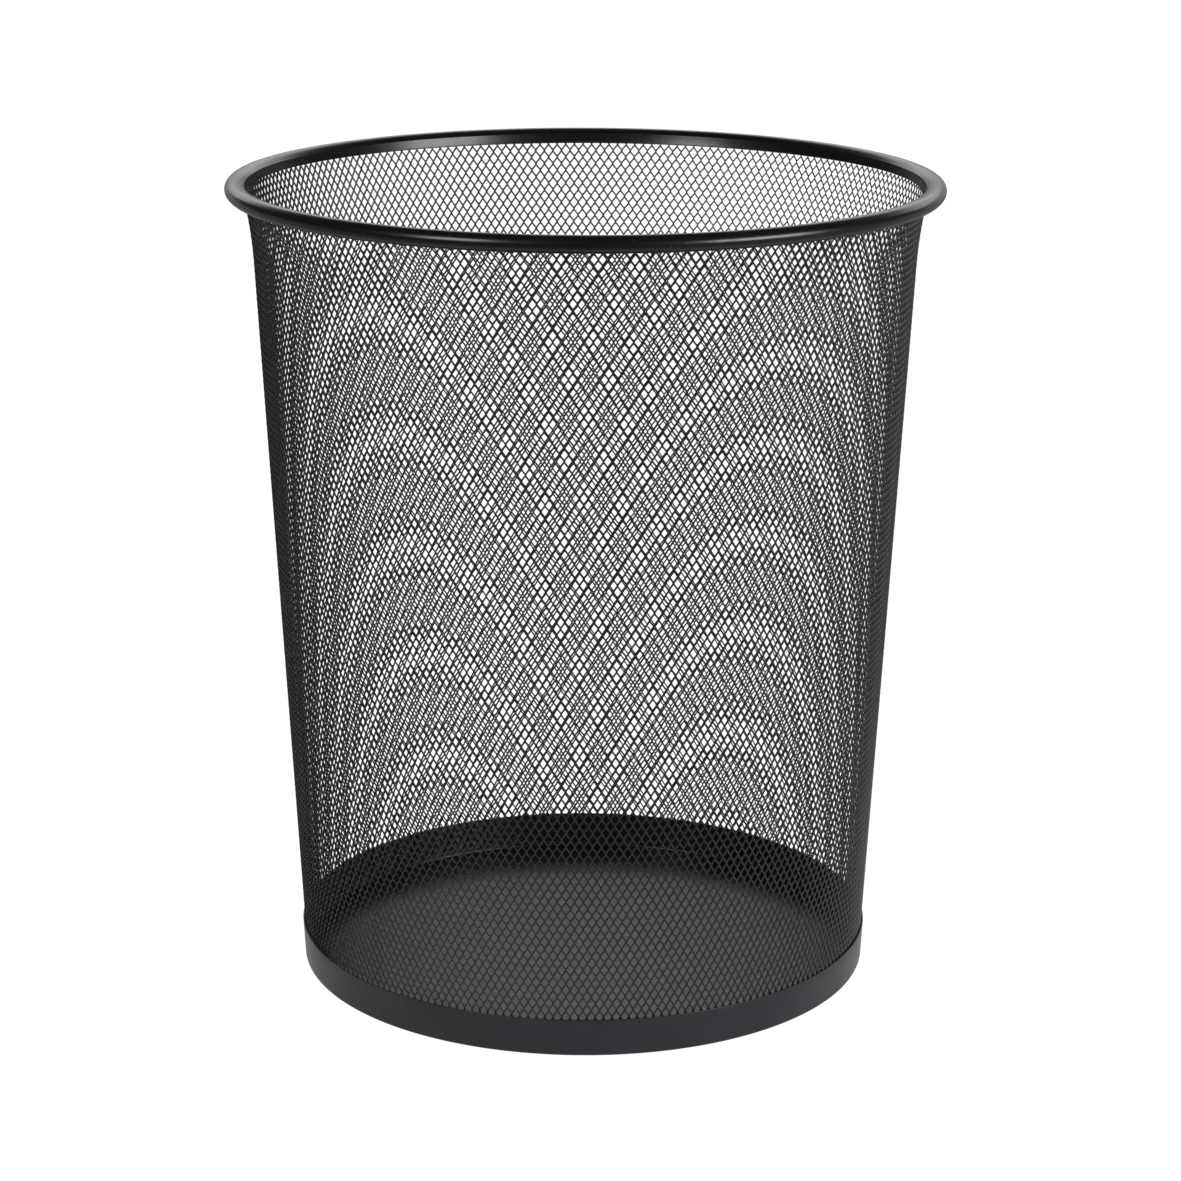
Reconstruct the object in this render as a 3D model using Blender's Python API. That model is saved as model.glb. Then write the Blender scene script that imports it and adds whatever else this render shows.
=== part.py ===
"""A round office wastebasket made of expanded-metal mesh.

Three pressed and rolled pieces of black painted steel: a pan that is the floor and a low plain
band round it, a tapered wall of diamond mesh that stands inside the band, and a rolled rim that
grips the top edge of the wall. Nothing on it moves.

Metres, +Z up. The origin is on the surface that the basket stands on, on its axis.
"""

import math

import bmesh
import bpy

# ---- Driving dimensions, in metres -------------------------------------------------------------

HEIGHT = 0.345
CLEARANCE = 0.0003  # between pieces that touch on the real basket

# The two ends of the cone, which set its taper.
RIM_RADIUS = 0.1508  # outside of the rim, and of the basket
BAND_TOP_RADIUS = 0.1247  # outside of the band at its top edge

# Base pan, pressed from one sheet.
BAND_HEIGHT = 0.0165
PAN_SHEET = 0.0006
PAN_CORNER = 0.0015  # outside radius between the floor and the band
BAND_TOP_CORNER = 0.0002  # rounding of the sheet's cut edge

# Mesh wall: a cone that bells out a little over its last stretch to enter the rim.
WALL_THICKNESS = 0.0006
FLARE = 0.0029  # extra radius at the wall's top edge
FLARE_HEIGHT = 0.032
FLARE_RINGS = 6

# Rim, roll-formed from one strip.
RIM_HEIGHT = 0.0071
ROLL_OVERHANG = 0.007  # from the outside of the wall's top edge out to the rim's outside
RIM_SHEET = 0.0005
CROWN_INSET = 0.0038  # from the rim's outside in to its highest line
FLANGE_TOP_DROP = 0.0018  # from the rim's highest line down to the flange's bend
FLANGE_HEIGHT = 0.0035
FLANGE_BEND = 0.0006  # outside radius of that bend
LIP_RISE = 0.0008  # from the rim's lowest line up to the roll's end against the wall

SEGMENTS = 72
ARC_STEPS = 8  # points on a half turn of the rim's roll


# ---- Places that follow from them --------------------------------------------------------------


def wall_top():
    """Height of the wall's top edge: it stops just under the sheet of the rim's bend."""
    return HEIGHT - FLANGE_TOP_DROP - RIM_SHEET - CLEARANCE


def wall_foot():
    """Height of the wall's bottom edge: just above the pan's inside corner."""
    return max(PAN_CORNER, PAN_SHEET) + CLEARANCE


def taper():
    """Radius that the cone gains per unit of height, between the band's top and the wall's."""
    wall_at_band = BAND_TOP_RADIUS - PAN_SHEET - CLEARANCE
    wall_at_top = RIM_RADIUS - ROLL_OVERHANG - FLARE
    return (wall_at_top - wall_at_band) / (wall_top() - BAND_HEIGHT)


def band_radius(z):
    """Outside of the band, which leans out with the wall."""
    return BAND_TOP_RADIUS + taper() * (z - BAND_HEIGHT)


def wall_radius(z):
    """Outside of the wall: it clears the inside of the band, and bells out towards the rim."""
    cone = band_radius(z) - PAN_SHEET - CLEARANCE
    into_flare = max(0.0, 1.0 - (wall_top() - z) / FLARE_HEIGHT)
    return cone + FLARE * into_flare**2


def flange_radius(z):
    """Inside of the rim's flange: it lies along the inside of the wall."""
    return wall_radius(z) - WALL_THICKNESS - CLEARANCE - RIM_SHEET


# ---- Modelling helpers -------------------------------------------------------------------------


def arc(centre, radii, start, end, steps):
    """Points on an ellipse's arc between two angles in degrees, as (radius, height) pairs."""
    points = []
    for step in range(steps + 1):
        angle = math.radians(start + (end - start) * step / steps)
        points.append(
            (
                centre[0] + radii[0] * math.cos(angle),
                centre[1] + radii[1] * math.sin(angle),
            )
        )
    return points


def sheet_section(face, thickness):
    """Closes a bent sheet's section: its shown face, then its hidden face walked backwards.

    The hidden face lies on the right-hand side of the shown one, walking along it.
    """
    hidden = []
    last = len(face) - 1
    for index, (radius, height) in enumerate(face):
        before = face[max(index - 1, 0)]
        after = face[min(index + 1, last)]
        along = (after[0] - before[0], after[1] - before[1])
        length = math.hypot(*along)
        hidden.append(
            (
                radius + along[1] / length * thickness,
                height - along[0] / length * thickness,
            )
        )
    return face + hidden[::-1]


def painted_steel(name, colour, roughness):
    material = bpy.data.materials.new(name)
    material.use_nodes = True
    shader = material.node_tree.nodes["Principled BSDF"]
    shader.inputs["Base Color"].default_value = (*colour, 1.0)
    shader.inputs["Roughness"].default_value = roughness
    shader.inputs["Metallic"].default_value = 0.0
    material.diffuse_color = (*colour, 1.0)
    return material


def turned(name, section, material):
    """Turns a closed section about the Z axis into one solid, shaded smooth.

    A section that starts and ends on the axis stays open there, and its ends become points.
    """
    on_axis = section[0][0] == 0.0
    shape = bmesh.new()
    points = [shape.verts.new((radius, 0.0, height)) for radius, height in section]
    edges = [shape.edges.new(pair) for pair in zip(points, points[1:])]
    if not on_axis:
        edges.append(shape.edges.new((points[-1], points[0])))
    bmesh.ops.spin(
        shape,
        geom=points + edges,
        cent=(0.0, 0.0, 0.0),
        axis=(0.0, 0.0, 1.0),
        angle=math.tau,
        steps=SEGMENTS,
        use_merge=True,
    )
    bmesh.ops.remove_doubles(shape, verts=shape.verts, dist=1e-7)
    bmesh.ops.recalc_face_normals(shape, faces=shape.faces)
    mesh = bpy.data.meshes.new(name)
    shape.to_mesh(mesh)
    shape.free()
    mesh.materials.append(material)
    mesh.shade_smooth()
    mesh.set_sharp_from_angle(angle=math.radians(40.0))
    piece = bpy.data.objects.new(name, mesh)
    bpy.context.scene.collection.objects.link(piece)
    return piece


# ---- The pieces --------------------------------------------------------------------------------


def build_base_pan(parent):
    """The flat floor and the band round it, one pressing. The floor's underside is at Z = 0."""
    foot_radius = band_radius(PAN_CORNER)
    inner_corner = PAN_CORNER - PAN_SHEET
    edge = BAND_TOP_CORNER
    outer_centre = (foot_radius - PAN_CORNER, PAN_CORNER)
    top_outside = band_radius(BAND_HEIGHT)
    section = [(0.0, 0.0)]
    section += arc(outer_centre, (PAN_CORNER, PAN_CORNER), -90.0, 0.0, 4)
    section += arc((top_outside - edge, BAND_HEIGHT - edge), (edge, edge), 0.0, 90.0, 2)
    section += arc(
        (top_outside - PAN_SHEET + edge, BAND_HEIGHT - edge), (edge, edge), 90.0, 180.0, 2
    )
    section += arc(outer_centre, (inner_corner, inner_corner), 0.0, -90.0, 3)
    section += [(0.0, PAN_SHEET)]
    pan = turned("base_pan", section, painted_steel("base_paint", (0.022, 0.021, 0.025), 0.42))
    pan.parent = parent


def build_mesh_wall(parent):
    """The wall at its true outline, as a plain closed sheet without its diamond openings."""
    top = wall_top()
    heights = [wall_foot(), BAND_HEIGHT]
    for ring in range(FLARE_RINGS + 1):
        heights.append(top - FLARE_HEIGHT * (1.0 - ring / FLARE_RINGS))
    outside = [(wall_radius(z), z) for z in heights]
    inside = [(radius - WALL_THICKNESS, z) for radius, z in outside]
    section = outside + inside[::-1]
    wall = turned("mesh_wall", section, painted_steel("mesh_paint", (0.012, 0.012, 0.013), 0.45))
    wall.parent = parent


def build_rim_roll(parent):
    """The rolled rim: a flange inside the wall, a bend, and a roll that comes back to the wall."""
    crown = (RIM_RADIUS - CROWN_INSET, HEIGHT - RIM_HEIGHT / 2.0)
    half_height = RIM_HEIGHT / 2.0
    bend_top = HEIGHT - FLANGE_TOP_DROP
    bend_low = bend_top - FLANGE_BEND
    flange_foot = bend_low - FLANGE_HEIGHT
    bend_radius = flange_radius(bend_low)
    bend_centre = (bend_radius + FLANGE_BEND, bend_low)

    # The roll's inner upper quarter meets the bend where the bend has turned most of the way up.
    meet_angle = 125.0
    meet = arc(bend_centre, (FLANGE_BEND, FLANGE_BEND), meet_angle, meet_angle, 1)[0]
    rise = math.asin((meet[1] - crown[1]) / half_height)
    reach_in = (crown[0] - meet[0]) / math.cos(rise)

    # Its lower end rises a little and stops against the outside of the wall.
    lip_height = HEIGHT - RIM_HEIGHT + LIP_RISE
    lip_radius = wall_radius(lip_height + RIM_SHEET) + CLEARANCE
    lip_fall = math.asin((crown[1] - lip_height) / half_height)
    reach_back = (crown[0] - lip_radius) / math.cos(lip_fall)

    face = [(flange_radius(flange_foot), flange_foot)]
    face += arc(bend_centre, (FLANGE_BEND, FLANGE_BEND), 180.0, meet_angle, 3)
    inner_top = arc(crown, (reach_in, half_height), 180.0 - math.degrees(rise), 90.0, 4)
    face += inner_top[1:]
    face += arc(crown, (CROWN_INSET, half_height), 90.0, -90.0, ARC_STEPS)[1:]
    face += arc(crown, (reach_back, half_height), -90.0, math.degrees(lip_fall) - 180.0, 4)[1:]
    section = sheet_section(face, RIM_SHEET)
    rim = turned("rim_roll", section, painted_steel("rim_paint", (0.016, 0.016, 0.018), 0.32))
    rim.parent = parent


def main():
    for leftover in list(bpy.data.objects):
        bpy.data.objects.remove(leftover)
    basket = bpy.data.objects.new("wastebasket", None)
    bpy.context.scene.collection.objects.link(basket)
    build_base_pan(basket)
    build_mesh_wall(basket)
    build_rim_roll(basket)


main()
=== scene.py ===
# %% [markdown]
# # A wastebasket of expanded-metal mesh
# This lesson finishes a round office wastebasket. The basket is three pieces of black painted
# steel: a shallow pan, a tapered wall of diamond mesh that stands in it, and a rolled rim.
# A maker already drew them as plain solids. We load those as a fixed frame, so that every new
# piece can take its place and size from them, and then we give each piece its real surface.

# %% Load the basket's frame
import math

import bpy
import numpy as np
from mathutils import Matrix, Vector


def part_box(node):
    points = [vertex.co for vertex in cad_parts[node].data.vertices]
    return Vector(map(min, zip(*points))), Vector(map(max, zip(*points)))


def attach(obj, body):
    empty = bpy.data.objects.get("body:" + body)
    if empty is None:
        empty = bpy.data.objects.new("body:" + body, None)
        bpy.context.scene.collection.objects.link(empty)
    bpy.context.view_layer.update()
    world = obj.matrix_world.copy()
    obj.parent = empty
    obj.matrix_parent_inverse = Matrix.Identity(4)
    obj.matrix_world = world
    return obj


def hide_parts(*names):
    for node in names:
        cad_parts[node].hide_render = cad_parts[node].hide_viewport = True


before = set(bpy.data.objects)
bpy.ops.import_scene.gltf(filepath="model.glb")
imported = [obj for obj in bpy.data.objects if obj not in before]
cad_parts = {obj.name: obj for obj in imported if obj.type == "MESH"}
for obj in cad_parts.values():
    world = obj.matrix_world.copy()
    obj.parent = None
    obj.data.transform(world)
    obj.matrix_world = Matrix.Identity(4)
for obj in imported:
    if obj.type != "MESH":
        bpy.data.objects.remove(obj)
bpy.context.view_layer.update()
print("pieces in the frame:", sorted(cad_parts))

# %% [markdown]
# ## The basket's own measures
# A lattice with thousands of openings can't be placed by eye. Typing the sizes in again would
# work until the plain solids change, so we read them from the solids' boxes instead. Only the
# thicknesses of the steel are typed, since a box doesn't show them.

# %% Read the sizes of the three pieces
pan_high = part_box("base_pan")[1]
wall_low, wall_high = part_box("mesh_wall")
rim_low, rim_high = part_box("rim_roll")

BAND_RADIUS, BAND_TOP = pan_high.x, pan_high.z  # the pan's upright band, outside
WALL_FOOT, WALL_TOP = wall_low.z, wall_high.z
RIM_RADIUS, RIM_TOP = rim_high.x, rim_high.z
STEEL = 0.0006  # sheet of the pan, and room that the mesh takes up
GAP = 0.0003  # air between two pieces
print("band radius and height in mm:", round(1000 * BAND_RADIUS, 1), round(1000 * BAND_TOP, 1))

# %% [markdown]
# ## The lean of the wall
# The wall is a cone, cut as a fan from flat mesh and rolled. Near the top the rim's roll pulls
# it outwards, so it bells a little. A modelled curve could be revolved for this, but the lattice
# needs the radius at thousands of heights, so a small formula serves better.

# %% Radius of the wall at any height
FLARE, FLARE_HEIGHT = 0.0029, 0.032  # the bell under the rim
cone_at_band = BAND_RADIUS - STEEL - GAP
TAPER = (wall_high.x - FLARE - cone_at_band) / (WALL_TOP - BAND_TOP)


def wall_radius(z):
    """Outside of the mesh wall at the heights z, in metres."""
    into_flare = np.clip(1 - (WALL_TOP - z) / FLARE_HEIGHT, 0, None)
    return cone_at_band + TAPER * (z - BAND_TOP) + FLARE * into_flare**2


print("the wall leans", round(math.degrees(math.atan(TAPER)), 2), "degrees")

# %% [markdown]
# ## Turning numbers into a mesh
# Blender can build a mesh from Python lists, but half a million faces are slow that way. Its
# `foreach_set` call takes a whole numpy array at once, so one small helper does all the pieces.
# It also puts the new object in the scene, and makes it ride on the frame. A piece may bring a
# flat map of its surface, which is useful when its paint is baked into a picture later.

# %% A helper that builds a piece from arrays
def new_piece(name, points, faces, flat_map=None):
    """A mesh from points (n, 3) and a list of face arrays, each (m, corners)."""
    corners = np.concatenate([f.reshape(-1) for f in faces]).astype(np.int32)
    counts = np.concatenate([np.full(len(f), f.shape[1]) for f in faces])
    starts = np.concatenate([[0], np.cumsum(counts)[:-1]]).astype(np.int32)
    mesh = bpy.data.meshes.new(name)
    mesh.vertices.add(len(points))
    mesh.vertices.foreach_set("co", points.astype(np.float32).reshape(-1))
    mesh.loops.add(len(corners))
    mesh.loops.foreach_set("vertex_index", corners)
    mesh.polygons.add(len(counts))
    mesh.polygons.foreach_set("loop_start", starts)
    mesh.update(calc_edges=True)
    mesh.validate()
    mesh.shade_smooth()
    if flat_map is not None:
        layer = mesh.uv_layers.new(name="OFBake")
        layer.uv.foreach_set("vector", flat_map.astype(np.float32).reshape(-1))
    piece = bpy.data.objects.new(name, mesh)
    bpy.context.scene.collection.objects.link(piece)
    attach(piece, "root")
    return piece


# %% [markdown]
# ## The order of the openings
# Expanded metal is a steel sheet that was slit in staggered rows and then pulled open. Every
# slit became a diamond, and the steel between two slits became a short bar, which we call a
# knot. So the mesh is a chessboard of half steps: a knot where the column and row numbers add
# up to an odd number, and an opening where they add up to an even one. An Array modifier could
# repeat one diamond, but not let the diamonds change size as the cone widens. Counting can.

# %% Count the openings
COLUMNS = 224  # diamonds round the basket
HALF_COLUMNS = 2 * COLUMNS
FIRST_ROW, LAST_ROW = 1, 115  # half rows, both odd, hidden in the pan and the rim
openings = HALF_COLUMNS * (LAST_ROW - FIRST_ROW) // 2
print("openings in the wall:", openings)

# %% [markdown]
# ## Where a knot sits
# The sheet was rolled into a cone, and the wider end had to stretch. A strand can't grow, so
# where the diamonds get wider they get shorter, and the rows crowd a little towards the rim.
# One quadratic says that. The sheet also closed a little crooked: its rows climb on one side,
# and its columns lean in a shallow curve. Such small errors matter, because one sees the near
# wall through the far one, and two perfect grids would make a pattern that no real basket has.

# %% Height and angle of a knot
ROW_START, ROW_RATE, ROW_CROWD = 0.1686, 164.28, 7.59  # whole rows at height z, in metres
ROW_CLIMB = 0.4025  # rows gained from the front to the back
LEAN_START, LEAN_CURVE, LEAN_HEIGHT = -0.0385, 5.9, 0.11
LEAN_CHANGE = -0.0715  # the lean's difference at the back


def knot_place(column, row):
    """Angle from the front, in radians, and height of a knot or opening in half steps."""
    turn = column / HALF_COLUMNS
    for _ in range(4):  # the lean depends on the height and the height on the turn
        to_back = (1 - np.cos(2 * math.pi * turn)) / 2
        whole = row / 2 - ROW_START - ROW_CLIMB * to_back
        root = np.sqrt(ROW_RATE**2 + 4 * ROW_CROWD * whole)
        z = (root - ROW_RATE) / (2 * ROW_CROWD)
        lean = LEAN_START + LEAN_CURVE * (z - LEAN_HEIGHT) ** 2 + LEAN_CHANGE * to_back
        turn = (column / 2 - lean) / COLUMNS
    return 2 * math.pi * turn, z


test_z = knot_place(np.zeros(2), np.array([40.0, 42.0]))[1]
print("one row at mid height, in mm:", round(1000 * (test_z[1] - test_z[0]), 2))

# %% [markdown]
# ## The outline of one opening
# An opening is a six-sided diamond: two short upright sides along its neighbour knots, and a
# notch at the top and the bottom where two strands part. We give its six corners as small
# distances from the knots, so the steel keeps its width wherever the diamonds stretch. The
# strands are not flat ribbons either. Paint rounds their edges, so each opening is cut three
# times: wider on the outside and inside of the sheet, and narrower halfway through it.

# %% Six corners, cut three times
KNOT_HALF_WIDTH, KNOT_HALF_LENGTH, NOTCH = 0.00043, 0.00022, 0.00064
STRAND_THICKNESS = 0.00048
EDGE_ROUND = 0.00012
LONGER, SHORTER = 0.36, 1.55  # how the rounding moves corners along the diamond

KNOT_OF_CORNER = np.array([(1, 0), (1, 0), (0, 1), (-1, 0), (-1, 0), (0, -1)])


def corner_shifts(rounding):
    """Sideways and upward shift of each corner from its knot, in metres."""
    wide = KNOT_HALF_WIDTH - rounding
    side = KNOT_HALF_LENGTH + LONGER * rounding
    tip = KNOT_HALF_LENGTH + NOTCH - SHORTER * rounding
    return np.array([(-wide, -side), (-wide, side), (0, -tip),
                     (wide, side), (wide, -side), (0, tip)])


CUTS = [
    (corner_shifts(EDGE_ROUND), 0.5 * STRAND_THICKNESS),
    (corner_shifts(0.0), 0.0),
    (corner_shifts(EDGE_ROUND), -0.5 * STRAND_THICKNESS),
]
print("corners in mm:", np.round(1000 * CUTS[1][0], 2).tolist())

# %% [markdown]
# ## Hiding the sheet's cut ends
# The first and last rows of diamonds hide in the pan and in the rim, where the real sheet was
# simply cut off. A Boolean cut through the strands would leave ragged faces for nothing, since
# nobody sees them. So the hidden rows are squeezed together and never reach past the sheet.

# %% Squeeze the hidden rows
HIDDEN_TOP, HIDDEN_FOOT = 0.0033, 0.0027


def squeezed(z):
    """Heights as they are in sight, and pressed together past the last visible line."""
    top, foot = WALL_TOP - HIDDEN_TOP, WALL_FOOT + HIDDEN_FOOT
    above = WALL_TOP - HIDDEN_TOP * np.exp(-np.clip(z - top, 0, None) / HIDDEN_TOP)
    below = WALL_FOOT + HIDDEN_FOOT * np.exp(-np.clip(foot - z, 0, None) / HIDDEN_FOOT)
    return np.where(z > top, above, np.where(z < foot, below, z))


in_sight = WALL_TOP - HIDDEN_TOP - WALL_FOOT - HIDDEN_FOOT
print("height kept as it is, in mm:", round(1000 * in_sight, 1))

# %% [markdown]
# ## Bringing the corners onto the wall
# Each corner starts at its knot, takes its small shift, and lands on the cone. One more thing
# makes expanded metal look like itself: the slitting tool leaves every strand turned a little,
# like the slat of a louvre. A sideways shift therefore also moves a corner in or out.

# %% Corners of many openings at once
TWIST = math.radians(27)  # turn of a strand out of the sheet


def opening_corners(column, row):
    """Angle, height and radius of the 3 x 6 corners of each opening, shape (n, 3, 6, 3)."""
    angle, height = knot_place(
        column[:, None] + KNOT_OF_CORNER[:, 0], row[:, None] + KNOT_OF_CORNER[:, 1]
    )
    made = np.empty((len(column), 3, 6, 3))
    for cut, (shift, depth) in enumerate(CUTS):
        z = squeezed(height + shift[:, 1])
        middle = wall_radius(z) - STEEL / 2
        made[:, cut, :, 0] = angle + shift[:, 0] / middle
        made[:, cut, :, 1] = z
        made[:, cut, :, 2] = middle + depth + shift[:, 0] * math.tan(TWIST)
    return made


one = opening_corners(np.array([0.0]), np.array([60.0]))[0, 1]
print("one opening's height in mm:", round(1000 * (one[:, 1].max() - one[:, 1].min()), 2))

# %% [markdown]
# ## Numbering the corners
# A face is a row of corner numbers, so every opening in a sector of the wall gets a number, and
# its 18 corners follow from it. A sector is a closed body of its own, so it can be exported,
# and eight of them make the wall without any one mesh growing too big.

# %% Number the openings of a sector
SECTORS = 8
SECTOR_WIDTH = HALF_COLUMNS // SECTORS  # in half columns
RING = len(KNOT_OF_CORNER)  # corners of one cut
CORNERS = len(CUTS) * RING  # of one opening


def opening_table(first, last):
    """Columns and rows of a sector's openings, and a table from (column, row) to corner."""
    grid = np.array([
        (u, v)
        for u in range(first, last + 1)
        for v in range(FIRST_ROW, LAST_ROW + 1)
        if (u + v) % 2 == 0
    ])
    table = np.full((last - first + 3, LAST_ROW + 3), -1)
    table[grid[:, 0] - first + 1, grid[:, 1]] = np.arange(len(grid)) * CORNERS
    return grid, table


first, last = 1, 1 + SECTOR_WIDTH
grid, table = opening_table(first, last)
print("openings that touch the first sector:", len(grid))

# %% [markdown]
# ## Inside the openings
# The steel's thickness shows as a narrow wall round each opening. Numpy can write thousands of
# such faces at once if we first pick the openings for which the face exists. At a sector's edge
# an opening has only half its corners, which is why each side asks whether its opening lies
# right of the first column, left of the last one, and so on.

# %% Walls of the openings
def opening_faces(grid, first, last):
    """Four-cornered faces round each opening: an outer ring and an inner ring by turns."""
    u, v = grid.T
    right, left = u < last, u > first
    up, down = v < LAST_ROW, v > FIRST_ROW
    sides = [right & up & down, right & up, left & up,
             left & up & down, left & down, right & down]
    faces = []
    for corner, there in enumerate(sides):
        opening = np.nonzero(there)[0] * CORNERS
        after = (corner + 1) % RING
        for deep in (0, RING):
            outer, inner = opening + deep, opening + deep + RING
            faces.append(np.stack(
                [outer + corner, outer + after, inner + after, inner + corner], axis=1
            ))
    return faces


print("faces in its openings:", sum(len(f) for f in opening_faces(grid, first, last)))

# %% [markdown]
# ## Knots and strands
# What is left between the openings is the steel itself. Each knot is two four-cornered halves,
# with one strand going up to the right of it and one up to the left. Subdividing a flat grid
# and deleting the holes would need far more faces for the same outline.

# %% Faces of the knots and strands
def knots_of(table, first, last):
    """Each knot's neighbours, as first corner numbers, and whether the steel goes on there."""
    u, v = np.meshgrid(np.arange(first, last + 1), np.arange(FIRST_ROW, LAST_ROW + 1))
    odd = (u + v) % 2 == 1
    u, v = u[odd], v[odd]
    beside = table[u - first, v], table[u - first + 2, v]
    over_under = table[u - first + 1, v + 1], table[u - first + 1, v - 1]
    return (*beside, *over_under), (u > first, u < last, v < LAST_ROW, v > FIRST_ROW)


def steel_faces(knots):
    """Faces on both sides of the sheet: the outside and the inside by turns."""
    (left_of, right_of, above, below), (left, right, up, down) = knots
    flat = [
        (left & up & down, [above + 5, left_of + 1, left_of, below + 2]),
        (right & up & down, [below + 2, right_of + 4, right_of + 3, above + 5]),
        (~up, [left_of, below + 2, right_of + 4]),
        (~down, [above + 5, left_of + 1, right_of + 3]),
        (right & up, [above + 5, right_of + 3, right_of + 2, above]),
        (left & up, [left_of + 1, above + 5, above + 4, left_of + 2]),
    ]
    faces = []
    for there, ring in flat:
        outside = np.stack([corner[there] for corner in ring], axis=1)
        faces += [outside, outside[:, ::-1] + 2 * RING]
    return faces


knots = knots_of(table, first, last)
print("faces on its knots and strands:", sum(len(f) for f in steel_faces(knots)))

# %% [markdown]
# ## Closing a sector
# A sector stops in the middle of its outermost knots, and there it would be open. Small caps
# close it, so that each sector is a solid that could be printed. They stay flat-shaded, so two
# neighbours meet with the same shading on both sides and the join doesn't show.

# %% Caps at a sector's ends
def cap_faces(knots):
    """Faces that close the cut knots: an outer half and an inner half by turns."""
    (left_of, right_of, above, below), (left, right, up, down) = knots
    ends = [
        (~left & up & down, below + 2, above + 5),
        (~right & up & down, above + 5, below + 2),
        (~up, left_of, right_of + 4),
        (~down, right_of + 3, left_of + 1),
    ]
    caps = []
    for there, start, end in ends:
        for deep in (0, RING):
            a, b = start[there] + deep, end[there] + deep
            caps.append(np.stack([a, b, b + RING, a + RING], axis=1))
    return caps


print("caps at its ends:", sum(len(f) for f in cap_faces(knots)))

# %% [markdown]
# ## A flat map of a sector
# Paint that comes from noise needs no map. But whoever bakes it into a picture does, and an
# automatic unwrap would scatter thousands of tiny strands. The sector is nearly flat, so it is
# simply unrolled twice: the outside on the left half of the map, the inside on the right half.

# %% Unroll a sector
MAP_EDGE = 0.01  # kept free round each half of the map


def unrolled(faces, angle, height):
    """Places on the map for every corner of every face. Outer and inner faces take turns."""
    turn = (angle - angle.min()) / (angle.max() - angle.min())
    across = MAP_EDGE + (0.5 - 2 * MAP_EDGE) * turn
    up = MAP_EDGE + (1 - 2 * MAP_EDGE) * height / WALL_TOP
    places = []
    for order, face in enumerate(faces):
        inner_half = 0.5 * (order % 2)
        places.append(np.stack([across[face] + inner_half, up[face]], axis=2))
    return np.concatenate([p.reshape(-1, 2) for p in places])


print("each side fills", 0.5 - 2 * MAP_EDGE, "of the map's width")

# %% [markdown]
# ## Building the wall
# Now each sector is only: number the openings, place their corners, list the faces, and drop
# the corners that no face uses. All eight have the same list of faces, because each starts and
# ends at the middle of a column. Only the lean and the climb make their shapes differ.

# %% Eight sectors of mesh
wall_pieces = []
for sector in range(SECTORS):
    first = 1 + sector * SECTOR_WIDTH
    last = first + SECTOR_WIDTH
    grid, table = opening_table(first, last)
    made = opening_corners(grid[:, 0].astype(float), grid[:, 1].astype(float))
    angle, height, radius = made.reshape(-1, 3).T
    knots = knots_of(table, first, last)
    caps = cap_faces(knots)
    faces = opening_faces(grid, first, last) + steel_faces(knots) + caps
    used = np.unique(np.concatenate([f.reshape(-1) for f in faces]))
    renumber = np.zeros(len(angle), int)
    renumber[used] = np.arange(len(used))
    faces = [renumber[f] for f in faces]
    angle, height, radius = angle[used], height[used], radius[used]
    points = np.stack([radius * np.sin(angle), -radius * np.cos(angle), height], axis=1)
    piece = new_piece(f"mesh_sector_{sector + 1}", points, faces, unrolled(faces, angle, height))
    smooth = np.ones(len(piece.data.polygons), bool)
    smooth[len(smooth) - sum(len(f) for f in caps):] = False
    piece.data.polygons.foreach_set("use_smooth", smooth)
    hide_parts("mesh_wall")
    wall_pieces.append(piece)
print("faces in the wall:", sum(len(p.data.polygons) for p in wall_pieces))

# %% [markdown]
# ## Turned pieces
# The rim and the pan are round, so each is one section turned about the basket's axis. Blender
# has a Screw modifier for that. Here the turning is done with numbers, because the rim needs a
# small mark at one place afterwards, and numbers are easy to bend.

# %% Turn a section about the axis
TURN_STEPS = 360


def arc(centre, radii, start, end, steps):
    """Points on an ellipse's arc between two angles in degrees, as (radius, height)."""
    turn = np.radians(np.linspace(start, end, steps + 1))
    return np.stack([centre[0] + radii[0] * np.cos(turn), centre[1] + radii[1] * np.sin(turn)], 1)


def turned(section):
    """Points and faces of a closed section, walked anticlockwise, turned into one body."""
    n = len(section)
    angle = np.arange(TURN_STEPS) * 2 * math.pi / TURN_STEPS
    r, z = section[:, 0][None, :], section[:, 1][None, :]
    x, y = r * np.sin(angle)[:, None], -r * np.cos(angle)[:, None]
    points = np.stack([x, y, np.broadcast_to(z, x.shape)], axis=2).reshape(-1, 3)
    i, k = np.meshgrid(np.arange(TURN_STEPS), np.arange(n), indexing="ij")
    j, m = (i + 1) % TURN_STEPS, (k + 1) % n
    faces = np.stack([i * n + k, j * n + k, j * n + m, i * n + m], axis=2).reshape(-1, 4)
    return points, faces


print("a turned piece has a corner every", 360 / TURN_STEPS, "degree")

# %% [markdown]
# ## The rim
# The rim is one strip of steel, rolled round the top of the wall. It starts as a short flange
# inside the wall, bends over the wall's cut edge, rises to a rounded crown and curls back under
# to the outside of the mesh. First come the measures that join these curves to each other, so
# that the strip stays smooth whatever size the frame has.

# %% Measures of the rim
RIM_HEIGHT, RIM_SHEET = rim_high.z - rim_low.z, 0.0005
CROWN_INSET, BEND_DROP, BEND = 0.0038, 0.0018, 0.0006
BEND_END = 125  # degrees; here the bend runs into the crown
FLANGE_HEIGHT, LIP_RISE = 0.0035, 0.0008
half_rim = RIM_HEIGHT / 2
crown = (RIM_RADIUS - CROWN_INSET, RIM_TOP - half_rim)
bend_low = RIM_TOP - BEND_DROP - BEND


def flange_radius(z):
    """The flange's face, one strip and one gap inside the mesh."""
    return float(wall_radius(z)) - STEEL - GAP - RIM_SHEET


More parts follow.
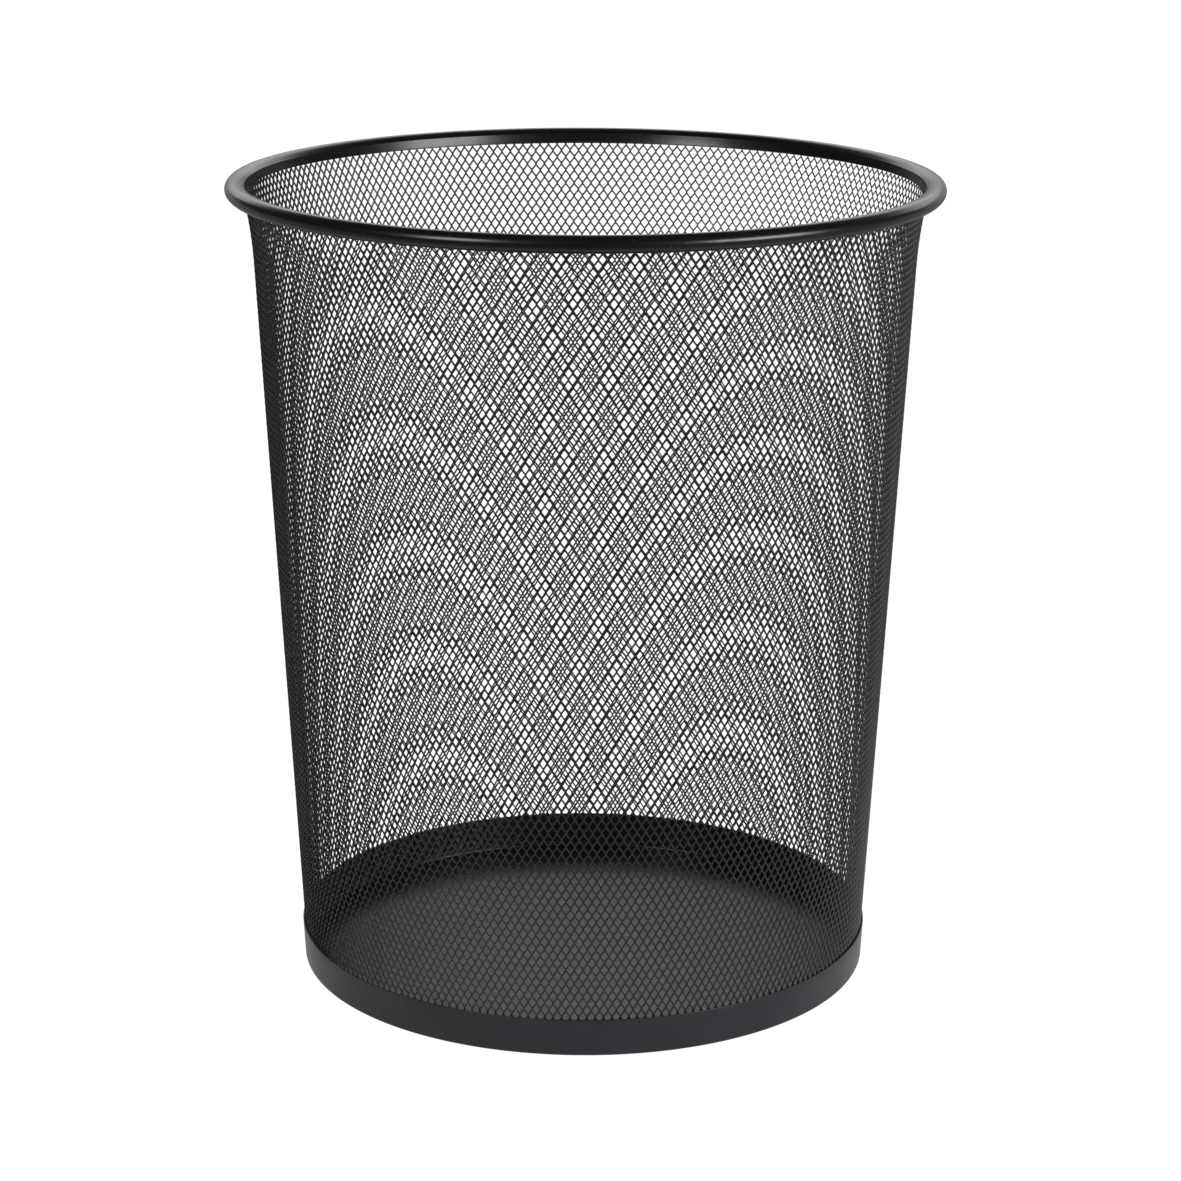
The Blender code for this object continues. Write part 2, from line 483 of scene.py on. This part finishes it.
bend_centre = (flange_radius(bend_low) + BEND, bend_low)
meet = arc(bend_centre, (BEND, BEND), BEND_END, BEND_END, 1)[0]
rise = math.asin((meet[1] - crown[1]) / half_rim)
reach_in = (crown[0] - meet[0]) / math.cos(rise)
lip_z = RIM_TOP - RIM_HEIGHT + LIP_RISE
lip_fall = math.asin((crown[1] - lip_z) / half_rim)
reach_back = (crown[0] - float(wall_radius(lip_z + RIM_SHEET)) - GAP) / math.cos(lip_fall)
print("the crown reaches inwards, in mm:", round(1000 * reach_in, 2))

# %% [markdown]
# A bevelled Blender curve could make a round tube, but this strip isn't round: it is flatter
# outside than inside. So we draw the face that shows as a chain of arcs, each ending where the
# next begins.

# %% The rim's face
face = np.concatenate([
    [(flange_radius(bend_low - FLANGE_HEIGHT), bend_low - FLANGE_HEIGHT)],
    arc(bend_centre, (BEND, BEND), 180, BEND_END, 6),
    arc(crown, (reach_in, half_rim), 180 - math.degrees(rise), 90, 8)[1:],
    arc(crown, (CROWN_INSET, half_rim), 90, -90, 24)[1:],
    arc(crown, (reach_back, half_rim), -90, math.degrees(lip_fall) - 180, 8)[1:],
])
print("points along the rim's face:", len(face))

# %% [markdown]
# A strip of steel has a second face. A Solidify modifier would add it, but at a tight bend it
# can fold through itself. Here every point simply steps one sheet thickness to the right of the
# way we walk, and the closed section is turned.

# %% Give the face its thickness and turn it
along = np.gradient(face, axis=0)
along /= np.linalg.norm(along, axis=1, keepdims=True)
hidden = face + RIM_SHEET * np.stack([along[:, 1], -along[:, 0]], axis=1)
rim_section = np.concatenate([face, hidden[::-1]])[::-1]
rim_points, rim_faces = turned(rim_section)
print("points in the rim:", len(rim_points))

# %% [markdown]
# The strip's two ends meet in a butt joint. It was ground and painted over, but a faint groove
# remains. A groove drawn only in the paint would vanish from the shape, so the points near the
# joint move in by a tenth of a millimetre or two.

# %% The joint in the rim
SHARP = math.radians(40)  # a steeper edge than this stays crisp
JOINT_ANGLE = math.radians(21)  # to the right of the front
JOINT_WIDTH, JOINT_DEPTH = 0.0012, 0.00015
around = np.arctan2(rim_points[:, 0], -rim_points[:, 1])
near = np.exp(-(((around - JOINT_ANGLE) * RIM_RADIUS / JOINT_WIDTH) ** 2))
outer_half = np.hypot(rim_points[:, 0], rim_points[:, 1]) > crown[0]
rim_points[:, :2] *= 1 - (JOINT_DEPTH / RIM_RADIUS * near * outer_half)[:, None]
rim = new_piece("rim", rim_points, [rim_faces])
rim.data.set_sharp_from_angle(angle=SHARP)
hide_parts("rim_roll")
print("points moved by the joint:", int((near * outer_half > 0.01).sum()))

# %% [markdown]
# ## The pan
# The pan is a shallow dish, pressed from one sheet: the floor, a small round corner, and a band
# that leans outwards and hides the foot of the mesh. It could be a cylinder with its edges
# bevelled, but its real section is simple to draw and gives the right sheet thickness.

# %% Section of the pan
CORNER, CUT_EDGE = 0.0015, 0.0002
FLOOR_RINGS = (0.004, 0.03, 0.06, 0.09, 0.11)  # radii, from the hub outwards
BAND_RINGS = (0.006, 0.011)  # heights


def band_radius(z):
    """Outside of the pan's band at the height z."""
    return BAND_RADIUS + TAPER * (z - BAND_TOP)


inner = CORNER - STEEL
corner_centre = (band_radius(CORNER) - CORNER, CORNER)
edge_z = BAND_TOP - CUT_EDGE
pan_section = np.concatenate([
    [(r, 0.0) for r in FLOOR_RINGS],
    arc(corner_centre, (CORNER, CORNER), -90, 0, 8),
    [(band_radius(z), z) for z in BAND_RINGS],
    arc((band_radius(BAND_TOP) - CUT_EDGE, edge_z), (CUT_EDGE, CUT_EDGE), 0, 90, 4),
    arc((band_radius(BAND_TOP) - STEEL + CUT_EDGE, edge_z), (CUT_EDGE, CUT_EDGE), 90, 180, 4),
    [(band_radius(z) - STEEL, z) for z in reversed(BAND_RINGS)],
    arc(corner_centre, (inner, inner), 0, -90, 6),
    [(r, STEEL) for r in reversed(FLOOR_RINGS)],
])
print("points in the pan's section:", len(pan_section))

# %% [markdown]
# A section that crosses the axis would pinch into slivers when it is turned. So it stops a few
# millimetres short, and two small fans of triangles close the middle, one under the floor and
# one on top of it.

# %% Turn the pan and close its middle
pan_points, pan_faces = turned(pan_section)
rings = pan_faces.reshape(TURN_STEPS, len(pan_section), 4)[:, :-1].reshape(-1, 4)
centres = np.array([(0, 0, 0), (0, 0, STEEL)])
under, over = len(pan_points), len(pan_points) + 1
i = np.arange(TURN_STEPS) * len(pan_section)
j = np.roll(i, -1)
top = len(pan_section) - 1
fans = np.concatenate([
    np.stack([np.full(TURN_STEPS, under), j, i], axis=1),
    np.stack([np.full(TURN_STEPS, over), i + top, j + top], axis=1),
])
pan = new_piece("pan", np.concatenate([pan_points, centres]), [rings, fans])
pan.data.set_sharp_from_angle(angle=SHARP)
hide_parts("base_pan")
print("faces in the pan:", len(pan.data.polygons))

# %% [markdown]
# ## Black paint
# All three pieces wear satin black paint, baked onto the steel. A single flat black would look
# like a hole. Real sprayed paint has a faint orange-peel skin, it is a touch greyer where it
# lies thin, and dust settles on it. Painted maps could say that, but noise nodes need no files.
# They are measured in the basket's own space, so the grain is the same size on every piece.

# %% Two helpers for the paint's nodes
BLACK, WHITE = (0, 0, 0), (1, 1, 1)


def noise(tree, scale, detail):
    """A cloud pattern over the piece, between 0 and 1."""
    place = tree.nodes.new("ShaderNodeTexCoord")
    cloud = tree.nodes.new("ShaderNodeTexNoise")
    cloud.inputs["Scale"].default_value = scale
    cloud.inputs["Detail"].default_value = detail
    tree.links.new(place.outputs["Object"], cloud.inputs["Vector"])
    return cloud.outputs["Fac"]


def ramp(tree, value, low, high, start=0.3, end=0.7):
    """Turns a value into a colour that goes from low, at start, to high, at end."""
    made = tree.nodes.new("ShaderNodeValToRGB")
    for element, colour, position in zip(made.color_ramp.elements, (low, high), (start, end)):
        element.color = (*colour, 1)
        element.position = position
    tree.links.new(value, made.inputs["Fac"])
    return made.outputs["Color"]


print("a ramp usually starts and ends at", ramp.__defaults__)

# %% [markdown]
# The recipe puts those clouds to work at four sizes. Centimetre clouds change the depth of the
# black. Grains under a millimetre are dust. Clouds of a few millimetres vary the gloss, and
# finer ones raise the orange peel. The bump stays weak: a strong one would sparkle.

# %% A recipe for painted steel
DEPTH_SCALE, DUST_SCALE, GLOSS_SCALE, PEEL_SCALE = 60.0, 1500.0, 220.0, 900.0  # per metre
PEEL_HEIGHT = 0.00005
DUST_COLOUR = (0.10, 0.10, 0.105, 1)
DUST_START, DUST_SPREAD, DUST_FULL = 0.76, 0.08, 0.80  # only the noise's rare peaks


def painted_steel(name, thin, thick, gloss, peel, dust):
    """A satin paint. thin and thick are its two colours, gloss its range of roughness."""
    material = bpy.data.materials.new(name)
    material.use_nodes = True
    tree = material.node_tree
    shader = tree.nodes["Principled BSDF"]

    coat = ramp(tree, noise(tree, DEPTH_SCALE, 4.0), thick, thin)
    start = DUST_START - DUST_SPREAD * dust
    speck = ramp(tree, noise(tree, DUST_SCALE, 1.0), BLACK, WHITE, start, DUST_FULL)
    dusty = tree.nodes.new("ShaderNodeMix")
    dusty.data_type = "RGBA"
    dusty.inputs["B"].default_value = DUST_COLOUR
    tree.links.new(speck, dusty.inputs["Factor"])
    tree.links.new(coat, dusty.inputs["A"])
    tree.links.new(dusty.outputs["Result"], shader.inputs["Base Color"])

    satin = ramp(tree, noise(tree, GLOSS_SCALE, 3.0), (gloss[0],) * 3, (gloss[1],) * 3)
    tree.links.new(satin, shader.inputs["Roughness"])

    skin = tree.nodes.new("ShaderNodeBump")
    skin.inputs["Strength"].default_value = peel
    skin.inputs["Distance"].default_value = PEEL_HEIGHT
    tree.links.new(noise(tree, PEEL_SCALE, 2.0), skin.inputs["Height"])
    tree.links.new(skin.outputs["Normal"], shader.inputs["Normal"])
    material.diffuse_color = (*thick, 1)
    print(name, "has", len(tree.nodes), "nodes")
    return material


# %% [markdown]
# One recipe, three mixes. The rim's is the deepest and glossiest. The mesh's is a shade greyer:
# a lighter copy of the same black, so that its thin strands show the light they catch, which is
# painted light. The pan's paint leans faintly to violet, as cheap black does, and the most dust
# lies on it.

# %% Paint the three pieces
rim_paint = painted_steel("rim_paint", (0.0080, 0.0075, 0.0110), (0.0055, 0.0050, 0.0080),
                          gloss=(0.25, 0.28), peel=0.04, dust=0.0)
# a greyer copy of the black: painted light on the strands
mesh_paint = painted_steel("mesh_paint", (0.016, 0.016, 0.017), (0.012, 0.012, 0.013),
                           gloss=(0.28, 0.34), peel=0.15, dust=0.0)
base_paint = painted_steel("base_paint", (0.0150, 0.0132, 0.0205), (0.0106, 0.0092, 0.0146),
                           gloss=(0.26, 0.32), peel=0.06, dust=0.1)
rim.data.materials.append(rim_paint)
pan.data.materials.append(base_paint)
for piece in wall_pieces:
    piece.data.materials.append(mesh_paint)

# %% [markdown]
# ## The camera
# A long lens, a good metre away and a little above the rim, shows the basket with almost
# upright sides and a narrow oval for its mouth. A wide lens close by would fit it in too, but
# would make the mouth huge. The tiny shift moves the view sideways and leaves its perspective
# alone, which turning the camera would not.

# %% Place the camera
LENS, SENSOR, SHIFT = 98.68, 36.0, 0.00532  # lens and sensor in mm
STAND = (0.0, -1.35282, 0.55073)  # in metres
LOOK_DOWN, LEANING = math.radians(15.947), math.radians(0.188)

camera_data = bpy.data.cameras.new("camera")
camera_data.lens = LENS
camera_data.sensor_width = SENSOR
camera_data.shift_x = SHIFT
camera = bpy.data.objects.new("camera", camera_data)
camera.location = STAND
tilt = Matrix.Rotation(math.pi / 2 - LOOK_DOWN, 3, "X")
roll = Matrix.Rotation(LEANING, 3, "Z")
camera.rotation_euler = (tilt @ roll).to_euler()
bpy.context.scene.collection.objects.link(camera)
bpy.context.scene.camera = camera
print("the camera stands", round(Vector(STAND).length, 2), "m away, with a lens of", LENS, "mm")

# %% [markdown]
# ## White for the eye, dim for the basket
# Goods like this are shown on pure white. One way is a very bright room, but then the black
# paint mirrors all that light and turns grey. In a studio the ground is lit apart from the
# goods. A Light Path node does the same here: what the camera sees directly is white, and what
# the basket reflects is a dim room.

# %% A helper that shows two brightnesses
PAPER_WHITE = 1.05  # a little over white, so that no grey noise is left


def white_to_the_eye(tree, dim, white, end):
    """Lets the camera see the white shader, and everything else the dim one."""
    ray = tree.nodes.new("ShaderNodeLightPath")
    choice = tree.nodes.new("ShaderNodeMixShader")
    tree.links.new(ray.outputs["Is Camera Ray"], choice.inputs["Fac"])
    tree.links.new(dim, choice.inputs[1])
    tree.links.new(white, choice.inputs[2])
    tree.links.new(choice.outputs["Shader"], end)


print("the camera sees a white of", PAPER_WHITE)

# %% [markdown]
# ## The floor
# The basket stands on plain pale paper. A plane would do, but a disc has no corners that could
# show in a reflection. It lies a hair under the pan, so that the two surfaces don't flicker
# into each other.

# %% A disc of paper
FLOOR_RADIUS, FLOOR_DROP = 12.0, 0.0002
floor_mesh = bpy.data.meshes.new("floor")
turn = np.linspace(0, 2 * math.pi, 97)[:-1]
edge = [(FLOOR_RADIUS * math.cos(t), FLOOR_RADIUS * math.sin(t), 0.0) for t in turn]
floor_mesh.from_pydata(edge, [], [list(range(len(edge)))])
floor = bpy.data.objects.new("floor", floor_mesh)
floor.location.z = -FLOOR_DROP
bpy.context.scene.collection.objects.link(floor)
print("the floor is", 2 * FLOOR_RADIUS, "m wide")

# %% [markdown]
# The basket mirrors this paper, so the light painted on it matters although the camera sees only
# white.
# That painted light and shade depend on two measures: how far a spot is from the basket, and how
# far to the back it lies. A painted map could hold them, but two nodes measure them without any
# file.

# %% Measure the way to a spot on the paper
paper = bpy.data.materials.new("pale_paper")
paper.use_nodes = True
tree = paper.node_tree
spot = tree.nodes.new("ShaderNodeTexCoord").outputs["Object"]
distance = tree.nodes.new("ShaderNodeVectorMath")
distance.operation = "LENGTH"
tree.links.new(spot, distance.inputs[0])
from_front = tree.nodes.new("ShaderNodeVectorMath")
from_front.operation = "ADD"
from_front.inputs[1].default_value = (0, 1, 0)  # counts from a metre in front of the basket
tree.links.new(spot, from_front.inputs[0])
split = tree.nodes.new("ShaderNodeSeparateXYZ")
tree.links.new(from_front.outputs["Vector"], split.inputs["Vector"])
away, to_back = distance.outputs["Value"], split.outputs["Y"]
print("nodes that measure the paper:", distance.name, "and", split.name)

# %% [markdown]
# The band and the lowest strands mirror the paper close by, which the lamps light strongly. The
# rim mirrors paper a metre away: bright behind and at the sides, where it sweeps up, and dark
# in front, where it ends. So the paper glows with painted light that changes with the distance
# and
# the direction: a painted pool of lamp light round the basket, painted light behind and at the
# sides, and painted shade in front. Its base colour also darkens away from the basket, which is
# painted shade. Lamps hidden under the paper could do it too, but each would need aiming.

# %% The paper's painted light and shade
# painted light and shade on the paper: a painted pool of lamp light near the basket, painted
# shade far in front, painted light behind
NEAR_PAPER_AND_PAINTED_POOL, FAR_PAINTED_SHADE, PAINTED_SWEEP_LIGHT = (0.6,) * 3, (0.06,) * 3, (0.5,) * 3
NEAR_FADE = (0.22, 0.5)  # the lamps' patch fades between these distances, in metres
SWEEP_RISE = (0.2, 0.8)  # the glow grows to the sweep's between these, towards the back
PAPER_GLOW = 0.5

matt = tree.nodes["Principled BSDF"]
matt.inputs["Roughness"].default_value = 0.9
# the glow's colour is painted light near the basket and behind, and painted shade in front
painted_glow_colour = tree.nodes.new("ShaderNodeMix")
painted_glow_colour.data_type = "RGBA"
painted_glow_colour.inputs["A"].default_value = (*NEAR_PAPER_AND_PAINTED_POOL, 1)
tree.links.new(ramp(tree, away, BLACK, WHITE, *NEAR_FADE), painted_glow_colour.inputs["Factor"])
tree.links.new(ramp(tree, to_back, FAR_PAINTED_SHADE, PAINTED_SWEEP_LIGHT, *SWEEP_RISE), painted_glow_colour.inputs["B"])
# the paper's base colour darkens away from the basket: painted shade
tree.links.new(ramp(tree, away, NEAR_PAPER_AND_PAINTED_POOL, FAR_PAINTED_SHADE, *NEAR_FADE), matt.inputs["Base Color"])
tree.links.new(painted_glow_colour.outputs["Result"], matt.inputs["Emission Color"])
matt.inputs["Emission Strength"].default_value = PAPER_GLOW

glow = tree.nodes.new("ShaderNodeEmission")
glow.inputs["Strength"].default_value = PAPER_WHITE
white_to_the_eye(tree, matt.outputs["BSDF"], glow.outputs["Emission"],
                 tree.nodes["Material Output"].inputs["Surface"])
paper.cycles.emission_sampling = "NONE"  # aiming rays at so wide a glow only adds grain
floor_mesh.materials.append(paper)
print("paper near the basket:", NEAR_PAPER_AND_PAINTED_POOL[0], "and swept up:", PAINTED_SWEEP_LIGHT[0])

# %% [markdown]
# ## The room
# Behind everything is Blender's world, a sphere of light without end. It could hold a picture
# of a studio, but plain lamps are easier to understand and to change. So the world only adds a
# little light from all sides, and white where the camera looks past the floor.

# %% The room's light
ROOM_LIGHT = 0.05
world = bpy.data.worlds.new("dim_room")
world.use_nodes = True
tree = world.node_tree
room = tree.nodes["Background"]
room.inputs["Color"].default_value = (1, 1, 1, 1)
room.inputs["Strength"].default_value = ROOM_LIGHT
white = tree.nodes.new("ShaderNodeBackground")
white.inputs["Color"].default_value = (1, 1, 1, 1)
white.inputs["Strength"].default_value = PAPER_WHITE
white_to_the_eye(tree, room.outputs["Background"], white.outputs["Background"],
                 tree.nodes["World Output"].inputs["Surface"])
bpy.context.scene.world = world
print("the room gives", ROOM_LIGHT)

# %% [markdown]
# ## Soft boxes
# Black gloss shows its lamps more than its own colour, so the lamps shape the rim. Two boxes
# in front draw the two streaks on it. A wide, dim one low behind gives the rim's ends their grey
# sheen, and a brighter one above it lights the floor of the pan. A point lamp would leave hard
# dots instead of streaks. Each box is placed by the angles at which the basket sees it.

# %% Soft boxes
AIM = Vector((0, 0, 0.2))  # a point inside the basket


def soft_box(name, azimuth, elevation, distance, size, brightness):
    """A lamp seen from the basket at these angles, in degrees. Azimuth 0 is the front."""
    a, e = math.radians(azimuth), math.radians(elevation)
    toward = Vector((math.sin(a) * math.cos(e), -math.cos(a) * math.cos(e), math.sin(e)))
    lamp = bpy.data.lights.new(name, "AREA")
    lamp.shape = "RECTANGLE"
    lamp.size, lamp.size_y = size
    lamp.energy = brightness * math.pi * size[0] * size[1]
    box = bpy.data.objects.new(name, lamp)
    box.location = AIM + distance * toward
    box.rotation_euler = toward.to_track_quat("Z", "Y").to_euler()
    box.visible_camera = False
    bpy.context.scene.collection.objects.link(box)
    print(name, "gives", round(lamp.energy, 1), "W")


soft_box("left_box", -41, 27, 1.8, (0.5, 0.7), 9.0)
soft_box("right_box", 54, 13, 1.8, (1.0, 0.7), 9.5)
soft_box("back_low", 176, 5, 2.2, (4.5, 0.5), 0.4)
soft_box("back_high", 172, 25, 2.2, (4.2, 0.8), 1.6)

# %% [markdown]
# ## From light to colour
# Blender's usual view softens bright light, as film does, and pure white needs sixteen times
# its strength. Behind thin black strands so much light would bleed over them and eat them up.
# The Standard view shows a brightness of one as white, so the mesh keeps its full width.

# %% Choose the view
bpy.context.scene.view_settings.view_transform = "Standard"
print("view:", bpy.context.scene.view_settings.view_transform)

# %% [markdown]
# ## The last update
# One last update of the scene brings every piece to its place. The finished basket has to stay
# inside the frame's box. Looking isn't enough to be sure of that, so we write both boxes to a
# small file, and finish.

# %% Update the scene
bpy.context.view_layer.update()
